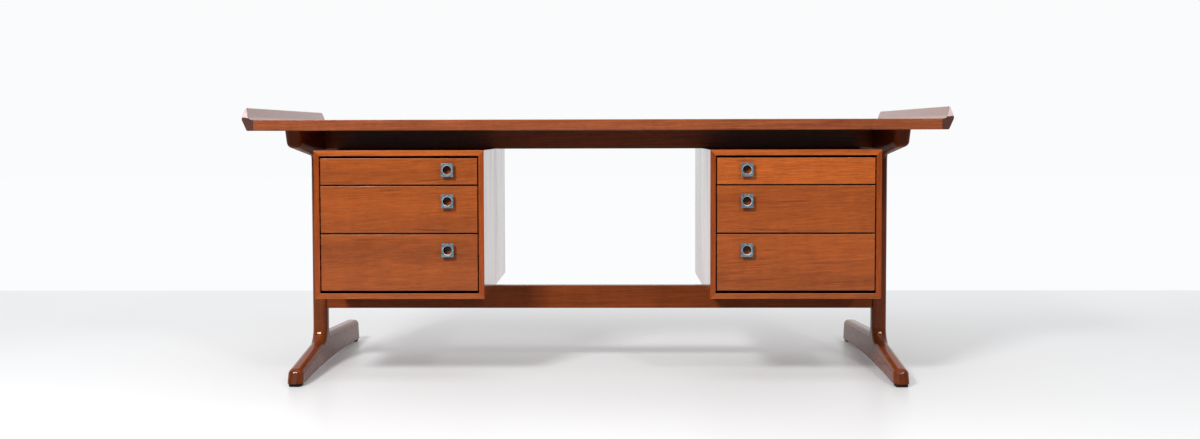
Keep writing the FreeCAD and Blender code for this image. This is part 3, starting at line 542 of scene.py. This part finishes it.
# Metal and plastic

def brushed_metal(name, colour, dark, rough, metallic=1.0, shaded=False):
    """Metal with fine upright brush marks, duller where it has been handled, and with painted shade where
    it faces down if it is shaded."""
    finish = Finish(bpy.data.materials.new(name))
    point = finish.point()
    brush = finish.noise(finish.stretched(point, (2600, 2600, 120)), detail=3, roughness=0.7)
    patch = finish.noise(finish.stretched(point, (140, 140, 140)), detail=3, roughness=0.6)
    tone = finish.between(brush * 0.45 + patch * 0.55, 0.32, 0.66)
    # Painted shade on faces that turn down.
    if shaded:
        tone = tone * finish.between(finish.facing("Z"), -0.1, 0.8)
    return finish.close(Base_Color=finish.mix(dark, colour, tone), Metallic=metallic,
                        Roughness=rough + patch * 0.16 + (brush - 0.5) * 0.10,
                        Normal=finish.bump(brush, 0.00004, 0.35))


def moulded_plastic(name, colour, dust_colour, rough):
    """Black plastic with a fine grit and patches of dust."""
    finish = Finish(bpy.data.materials.new(name))
    point = finish.point()
    grit = finish.noise(finish.stretched(point, (900, 900, 900)), detail=2)
    dust = finish.noise(finish.stretched(point, (60, 60, 200)), detail=3)
    dusty = finish.between(dust, 0.45, 0.75)
    return finish.close(Base_Color=finish.mix(colour, dust_colour, dusty), Roughness=rough + dusty * 0.2,
                        Specular_IOR_Level=0.15, Normal=finish.bump(grit, 0.0001, 0.4))


pull_face_metal = brushed_metal("pull_face_metal", (0.24, 0.33, 0.38, 1), (0.06, 0.10, 0.13, 1), 0.26,
                                metallic=0.62)
pull_rim_metal = brushed_metal("pull_rim_metal", (0.84, 0.88, 0.90, 1), (0.70, 0.75, 0.78, 1), 0.30,
                               metallic=0.8)
# The bore's red-brown colour stands for the wood its walls mirror: a painted reflection.
pull_bore_metal = brushed_metal("pull_bore_metal", (0.22, 0.060, 0.020, 1), (0.020, 0.006, 0.003, 1), 0.5,
                                metallic=0.6, shaded=True)
screw_metal = brushed_metal("screw_metal", (0.52, 0.50, 0.44, 1), (0.30, 0.28, 0.24, 1), 0.34)
glide_plastic = moulded_plastic("glide_plastic", (0.008, 0.008, 0.009, 1), (0.020, 0.019, 0.018, 1), 0.55)


# Pieces

MERGE_DISTANCE = 0.000005
FLAT_ANGLE = math.radians(0.4)
SMOOTH_ANGLE = 38
SHARP_ANGLE = math.radians(50)
EASE = 0.0004


def select_only(piece):
    bpy.ops.object.select_all(action="DESELECT")
    piece.select_set(True)
    bpy.context.view_layer.objects.active = piece


def new_piece(name, mesh):
    """A piece with its own copy of a mesh."""
    piece = bpy.data.objects.new(name, mesh.copy())
    bpy.context.scene.collection.objects.link(piece)
    return piece


def stand_in(piece, node):
    """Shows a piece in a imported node's place, on that node's body."""
    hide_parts(node)
    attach(piece, body_of_node[node])


def smooth_and_apply(piece, angle):
    """Smooth rounds between flat faces that stay flat."""
    select_only(piece)
    bpy.ops.object.shade_smooth_by_angle(angle=math.radians(angle))
    weigh = piece.modifiers.new("FlatFaces", "WEIGHTED_NORMAL")
    weigh.keep_sharp = True
    weigh.weight = 80
    bpy.ops.object.modifier_apply(modifier=weigh.name)


def finished(node, material, ease=0.0):
    """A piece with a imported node's shape, its small faces joined, its sharp edges eased by a width
    and its rounds made smooth."""
    piece = new_piece(f"{node}_finished", nodes[node].data)
    select_only(piece)
    if piece.data.has_custom_normals:
        bpy.ops.mesh.customdata_custom_splitnormals_clear()
    bpy.ops.object.mode_set(mode="EDIT")
    bpy.ops.mesh.select_all(action="SELECT")
    bpy.ops.mesh.remove_doubles(threshold=MERGE_DISTANCE)
    bpy.ops.mesh.dissolve_limited(angle_limit=FLAT_ANGLE)
    bpy.ops.object.mode_set(mode="OBJECT")
    if ease:
        eased = piece.modifiers.new("EasedEdges", "BEVEL")
        eased.width = ease
        eased.segments = 2
        eased.limit_method = "ANGLE"
        eased.angle_limit = SHARP_ANGLE
        bpy.ops.object.modifier_apply(modifier=eased.name)
    smooth_and_apply(piece, SMOOTH_ANGLE)
    piece.data.materials.clear()
    piece.data.materials.append(material)
    stand_in(piece, node)


def painted(node, material):
    """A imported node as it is, with a better finish."""
    for material_slot in nodes[node].material_slots:
        material_slot.material = material


finished("desktop_board", top_veneer)
finished("front_edge_strip", edge_wood)
finished("rear_edge_strip", edge_wood)
finished("lower_rail", lower_rail_wood)
finished("upper_rail", upper_rail_wood)
for side in SIDES:
    finished(f"{side}_end_board", end_board_wood[side])
    finished(f"{side}_foot", foot_wood)
    finished(f"{side}_post", post_wood)
    finished(f"{side}_arm", arm_wood)
    for board in ("outer_side", "inner_side"):
        finished(f"{side}_case_{board}", case_side_wood)
    for board in ("top", "bottom"):
        finished(f"{side}_case_{board}", case_level_wood[board])
    finished(f"{side}_case_back", case_back_wood, ease=EASE)
    finished(f"{side}_drawer_runners", runner_wood, ease=EASE)
    for level in LEVELS:
        drawer = f"{side}_{level}_drawer"
        finished(f"{drawer}_front", front_wood[f"{side}_{level}"])
        finished(f"{drawer}_sides", drawer_side_wood, ease=EASE)
        finished(f"{drawer}_back", drawer_back_wood, ease=EASE)
        finished(f"{drawer}_bottom", drawer_bottom_wood, ease=EASE)
painted("end_board_splines", runner_wood)
finished("foot_glides", glide_plastic)


# Pulls

PULL_FACE = -0.014
PLATE_WIDTH = 0.034
PLATE_HEIGHT = 0.0375
PLATE_THICKNESS = 0.0045
CORNER_ROUND = 0.0013
FACE_ROUND = 0.0005
NECK_RADIUS = 0.0145
SEAT_DEPTH = 0.005
HOLE_RADIUS = 0.0121
RIM_RADIUS = 0.0132
RIM_DEPTH = 0.0010
OVERLAP = 0.002
DETAIL_ANGLE = 30


def applied(piece):
    """Puts a piece's place, turn and size into its mesh."""
    select_only(piece)
    bpy.ops.object.transform_apply(location=True, rotation=True, scale=True)
    return piece


def block(size, location=(0, 0, 0)):
    bpy.ops.object.select_all(action="DESELECT")
    bpy.ops.mesh.primitive_cube_add(size=1, location=location, scale=size)
    return applied(bpy.context.object)


def bar(radius, near, far):
    """A round bar that runs to the rear from near to far."""
    bpy.ops.object.select_all(action="DESELECT")
    bpy.ops.mesh.primitive_cylinder_add(vertices=96, radius=radius, depth=far - near,
                                        location=(0, (near + far) / 2, 0), rotation=(math.pi / 2, 0, 0))
    return applied(bpy.context.object)


def cut_or_join(piece, tool, operation):
    """Takes a tool's shape out of a piece, or joins it on."""
    select_only(piece)
    cut = piece.modifiers.new("Cut", "BOOLEAN")
    cut.operation = operation
    cut.solver = "EXACT"
    cut.object = tool
    bpy.ops.object.modifier_apply(modifier=cut.name)
    bpy.data.objects.remove(tool)


def bevel_where(piece, chosen, width, segments):
    """Bevels the edges that a test on their two ends picks."""
    select_only(piece)
    points = [vertex.co.copy() for vertex in piece.data.vertices]
    for polygon in piece.data.polygons:
        polygon.select = False
    for vertex in piece.data.vertices:
        vertex.select = False
    for edge in piece.data.edges:
        edge.select = chosen(points[edge.vertices[0]], points[edge.vertices[1]])
    bpy.ops.object.mode_set(mode="EDIT")
    bpy.ops.mesh.select_mode(type="EDGE")
    bpy.ops.mesh.bevel(offset=width, segments=segments, affect="EDGES")
    bpy.ops.object.mode_set(mode="OBJECT")


def runs_to_the_rear(start, end):
    return abs(start.y - end.y) > 0.001


def rings_the_face(start, end):
    """Whether an edge lies in the plate's face, and outside the hole's rim."""
    in_face = max(start.y, end.y) < PULL_FACE + 0.0001
    return in_face and min(start.xz.length, end.xz.length) > RIM_RADIUS + 0.001


def square_pull():
    """A square plate with eased corners on a round neck. The hole has a bright slope round its rim."""
    plate = block((PLATE_WIDTH, PLATE_THICKNESS, PLATE_HEIGHT), (0, PULL_FACE + PLATE_THICKNESS / 2, 0))
    bevel_where(plate, runs_to_the_rear, CORNER_ROUND, 4)
    cut_or_join(plate, bar(NECK_RADIUS, PULL_FACE + OVERLAP, SEAT_DEPTH), "UNION")
    hole = bar(HOLE_RADIUS, PULL_FACE - OVERLAP, SEAT_DEPTH + OVERLAP)
    slope = bar(HOLE_RADIUS, PULL_FACE, PULL_FACE + RIM_DEPTH)
    spread = RIM_RADIUS / HOLE_RADIUS
    for vertex in slope.data.vertices:
        if vertex.co.y < PULL_FACE + RIM_DEPTH / 2:
            vertex.co.x *= spread
            vertex.co.z *= spread
    cut_or_join(hole, slope, "UNION")
    cut_or_join(plate, hole, "DIFFERENCE")
    bevel_where(plate, rings_the_face, FACE_ROUND, 3)
    smooth_and_apply(plate, DETAIL_ANGLE)
    for material in (pull_face_metal, pull_rim_metal, pull_bore_metal):
        plate.data.materials.append(material)
    for polygon in plate.data.polygons:
        distance = polygon.center.xz.length
        if -0.95 < polygon.normal.y < -0.15 and HOLE_RADIUS - 0.001 < distance < RIM_RADIUS + 0.001:
            polygon.material_index = 1
        elif abs(polygon.normal.y) < 0.15 and distance < HOLE_RADIUS + 0.0005:
            polygon.material_index = 2
    return plate


pull_pattern = square_pull()
for side in SIDES:
    for level in LEVELS:
        node = f"{side}_{level}_drawer_pull"
        low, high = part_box(node)
        pull = new_piece(f"{node}_plate", pull_pattern.data)
        centre = ((low.x + high.x) / 2, low.y - PULL_FACE, (low.z + high.z) / 2)
        pull.data.transform(Matrix.Translation(centre))
        stand_in(pull, node)
bpy.data.objects.remove(pull_pattern)


# Screws

# A screw's head from its face up to its shank, each point a radius and a height.
SCREW_HEAD = ((0.0026, 0.0), (0.0037, 0.00035), (0.00435, 0.0011), (0.0045, 0.0019), (0.0045, 0.0032),
              (0.0043, 0.0035), (0.0025, 0.0035), (0.0025, 0.0125))
RING_PITCH = 0.0022
RING_WIDTH = 0.0018
RING_START = 0.0006
RING_STOP = 0.0075
RING_FOOT = 0.0019
RING_CREST = 0.0025
POINT_LENGTH = 0.0035
POINT_RADII = (0.0014, 0.0001)
RECESS_LENGTH = 0.0050
RECESS_WIDTH = 0.0011
RECESS_DEPTH = 0.0015
# Where the screws stand: in the arms, and in the rails.
ARM_X = 0.8325
ARM_SCREW_Y = 0.257
RAIL_Y = -0.065
RAIL_SCREW_X = (-0.18, 0.0, 0.18)
CASE_SCREW_X = (-0.69125, -0.39125, 0.39125, 0.69125)
TOP_SCREW_Z = 0.675
TOP_SCREW_LENGTH = 0.0445
CASE_SCREW_Z = (0.214, 0.635)
CASE_SCREW_LENGTH = 0.0395


def screw_outline(length):
    """A screw's radii and heights from its head to its point."""
    outline = list(SCREW_HEAD)
    height = outline[-1][1] + RING_START
    while height < length - RING_STOP:
        outline.append((RING_FOOT, height))
        outline.append((RING_CREST, height + RING_WIDTH / 2))
        outline.append((RING_FOOT, height + RING_WIDTH))
        height += RING_PITCH
    return outline + [(POINT_RADII[0], length - POINT_LENGTH), (POINT_RADII[1], length)]


def wood_screw(length):
    """A domed screw that points up from its head at height 0, with a cross recess and a ringed shank."""
    outline = screw_outline(length)
    bpy.ops.object.select_all(action="DESELECT")
    bpy.ops.mesh.primitive_circle_add(vertices=24, radius=outline[0][0], fill_type="NGON")
    screw = bpy.context.object
    bpy.ops.object.mode_set(mode="EDIT")
    bpy.ops.mesh.select_mode(type="FACE")
    bpy.ops.mesh.select_all(action="SELECT")
    for (near_radius, near), (radius, far) in zip(outline, outline[1:]):
        spread = radius / near_radius
        bpy.ops.mesh.extrude_region_move(TRANSFORM_OT_translate={"value": (0, 0, far - near)})
        bpy.ops.transform.resize(value=(spread, spread, 1), center_override=(0, 0, far))
    bpy.ops.mesh.select_all(action="SELECT")
    bpy.ops.mesh.normals_make_consistent(inside=False)
    bpy.ops.object.mode_set(mode="OBJECT")
    for size in ((RECESS_LENGTH, RECESS_WIDTH), (RECESS_WIDTH, RECESS_LENGTH)):
        cut_or_join(screw, block((*size, RECESS_DEPTH * 2)), "DIFFERENCE")
    smooth_and_apply(screw, DETAIL_ANGLE)
    screw.data.materials.clear()
    screw.data.materials.append(screw_metal)
    return screw


def driven_screws(node, length, places):
    """Copies of one screw, each driven up from its place."""
    pattern = wood_screw(length)
    copies = []
    for place in places:
        copy = new_piece(f"{node}_turned", pattern.data)
        copy.data.transform(Matrix.Translation(place))
        copies.append(copy)
    bpy.data.objects.remove(pattern)
    select_only(copies[0])
    for copy in copies:
        copy.select_set(True)
    bpy.ops.object.join()
    stand_in(bpy.context.object, node)


driven_screws("desktop_screws", TOP_SCREW_LENGTH,
              [(x, y, TOP_SCREW_Z) for x in (-ARM_X, ARM_X) for y in (-ARM_SCREW_Y, ARM_SCREW_Y)]
              + [(x, RAIL_Y, TOP_SCREW_Z) for x in RAIL_SCREW_X])
driven_screws("case_screws", CASE_SCREW_LENGTH,
              [(x, RAIL_Y, z) for x in CASE_SCREW_X for z in CASE_SCREW_Z])


# Floor and backdrop

FLOOR_SIDE = 30.0
# How deep behind the desk the floor turns into the white backdrop, and over how short a way.
BACKDROP = 1.62
BACKDROP_BLEND = 0.006
BACKDROP_WHITE = (0.965, 0.972, 0.985, 1)
# The floor's grey, as its light falls back on the desk, and as it is seen.
FLOOR_BOUNCE = (0.40, 0.40, 0.40, 1)
FLOOR_SEEN = (0.80, 0.805, 0.81, 1)
# How much of the seen floor is backdrop white: everywhere, far back, and past the start of the backdrop.
GLOW = {"all": 0.13, "far": 0.40, "backdrop": 0.47}


def pale_floor():
    """A pale floor that glows white far behind the desk, but only as it is seen or mirrored, so that
    its glow doesn't light the desk."""
    finish = Finish(bpy.data.materials.new("pale_floor"))
    point = finish.point()
    depth = finish.part(point, "Y")
    past = finish.between(depth, BACKDROP - BACKDROP_BLEND, BACKDROP + BACKDROP_BLEND)
    far = finish.between(depth, 0.2, BACKDROP)
    cloud = finish.noise(point, scale=0.7, detail=2)
    seen = finish.ray("Is Camera Ray")
    seen = seen.larger(finish.ray("Is Glossy Ray")).larger(finish.ray("Is Transmission Ray"))
    glow = finish.add("ShaderNodeEmission", {}, {"Color": BACKDROP_WHITE, "Strength": 1.0})
    colour = finish.mix(FLOOR_BOUNCE, FLOOR_SEEN, seen)
    ground = finish.add("ShaderNodeBsdfPrincipled", {}, {
        "Base Color": finish.shade(colour, 0.97 + cloud * 0.06),
        "Roughness": 0.34, "Specular IOR Level": 0.15})
    share = (GLOW["all"] + GLOW["far"] * far + GLOW["backdrop"] * past) * seen
    surface = finish.add("ShaderNodeMixShader", {}, {0: share, 1: ground, 2: glow})
    finish.add("ShaderNodeOutputMaterial", {}, {"Surface": surface})
    return finish.owner


bpy.ops.object.select_all(action="DESELECT")
bpy.ops.mesh.primitive_plane_add(size=FLOOR_SIDE, location=(0, 0, 0))
floor = bpy.context.object
floor.name = "floor"
floor.data.materials.append(pale_floor())


# Light

# How bright the studio is everywhere, behind the desk and overhead, as it lights a surface, as a
# surface mirrors it, and as it is seen.
STUDIO_SOFT = (0.07, 0.95, 0.22)
STUDIO_MIRRORED = (0.24, 0.73, 0.90)
STUDIO_SEEN = 0.972
STUDIO_WHITE = (0.985, 0.992, 1.0, 1)
# Each lamp: where it hangs, where it points, its width and depth, and its power in watts.
LAMPS = {
    "key_lamp": ((-1.8, -3.45, 2.85), (0.0, -0.3, 0.35), (0.8, 0.6), 156),
    "side_lamp": ((1.85, -3.45, 2.85), (0.0, -0.3, 0.4), (0.45, 0.4), 40),
    "ceiling_lamp": ((0.0, -1.5, 3.2), (0.0, -0.5, 0.4), (3.4, 1.2), 22),
}


def studio_brightness(levels, behind, overhead):
    everywhere, rear, ceiling = levels
    return everywhere + rear * behind + ceiling * overhead * (1 - behind)


def studio_world():
    world = bpy.data.worlds.new("studio")
    bpy.context.scene.world = world
    finish = Finish(world)
    way = finish.add("ShaderNodeTexCoord", output="Generated")
    back, up = finish.part(way, "Y"), finish.part(way, "Z")
    behind = finish.between(back, -0.15, 0.35)
    soft = studio_brightness(STUDIO_SOFT, behind, finish.between(up, 0.35, 0.80))
    mirrored = studio_brightness(STUDIO_MIRRORED, behind, finish.between(up, 0.55, 0.85))
    glossy_ray, camera_ray = finish.ray("Is Glossy Ray"), finish.ray("Is Camera Ray")
    strength = soft * (1 - glossy_ray) + mirrored * glossy_ray
    strength = strength * (1 - camera_ray) + STUDIO_SEEN * camera_ray
    light = finish.add("ShaderNodeBackground", {}, {"Color": STUDIO_WHITE, "Strength": strength})
    finish.add("ShaderNodeOutputWorld", {}, {"Surface": light})


def soft_lamp(name, place, target, size, watts):
    light = bpy.data.lights.new(name, "AREA")
    light.shape = "RECTANGLE"
    light.size, light.size_y = size
    light.energy = watts
    lamp = bpy.data.objects.new(name, light)
    bpy.context.scene.collection.objects.link(lamp)
    lamp.location = place
    lamp.rotation_euler = (Vector(target) - Vector(place)).to_track_quat("-Z", "Y").to_euler()


studio_world()
for name, (place, target, size, watts) in LAMPS.items():
    soft_lamp(name, place, target, size, watts)


# Camera

# The view that was solved from the photo's perspective: where the camera stands, how it leans down,
# rolls and turns aside in radians, its lens in mm, and its shift.
CAMERA_PLACE = (0.050, -3.5989, 0.6984)
CAMERA_LEAN = 0.0399
CAMERA_ROLL = 0.0022
CAMERA_TURN = 0.0132
CAMERA_LENS = 35.67
CAMERA_SHIFT = (0.0004, -0.0333)

camera = bpy.data.cameras.new("camera")
camera.sensor_width = 36
camera.lens = CAMERA_LENS
camera.shift_x, camera.shift_y = CAMERA_SHIFT
view = bpy.data.objects.new("camera", camera)
bpy.context.scene.collection.objects.link(view)
view.location = CAMERA_PLACE
view.rotation_euler = (math.pi / 2 - CAMERA_LEAN, CAMERA_ROLL, CAMERA_TURN)
bpy.context.scene.camera = view
bpy.context.scene.view_settings.view_transform = "Standard"
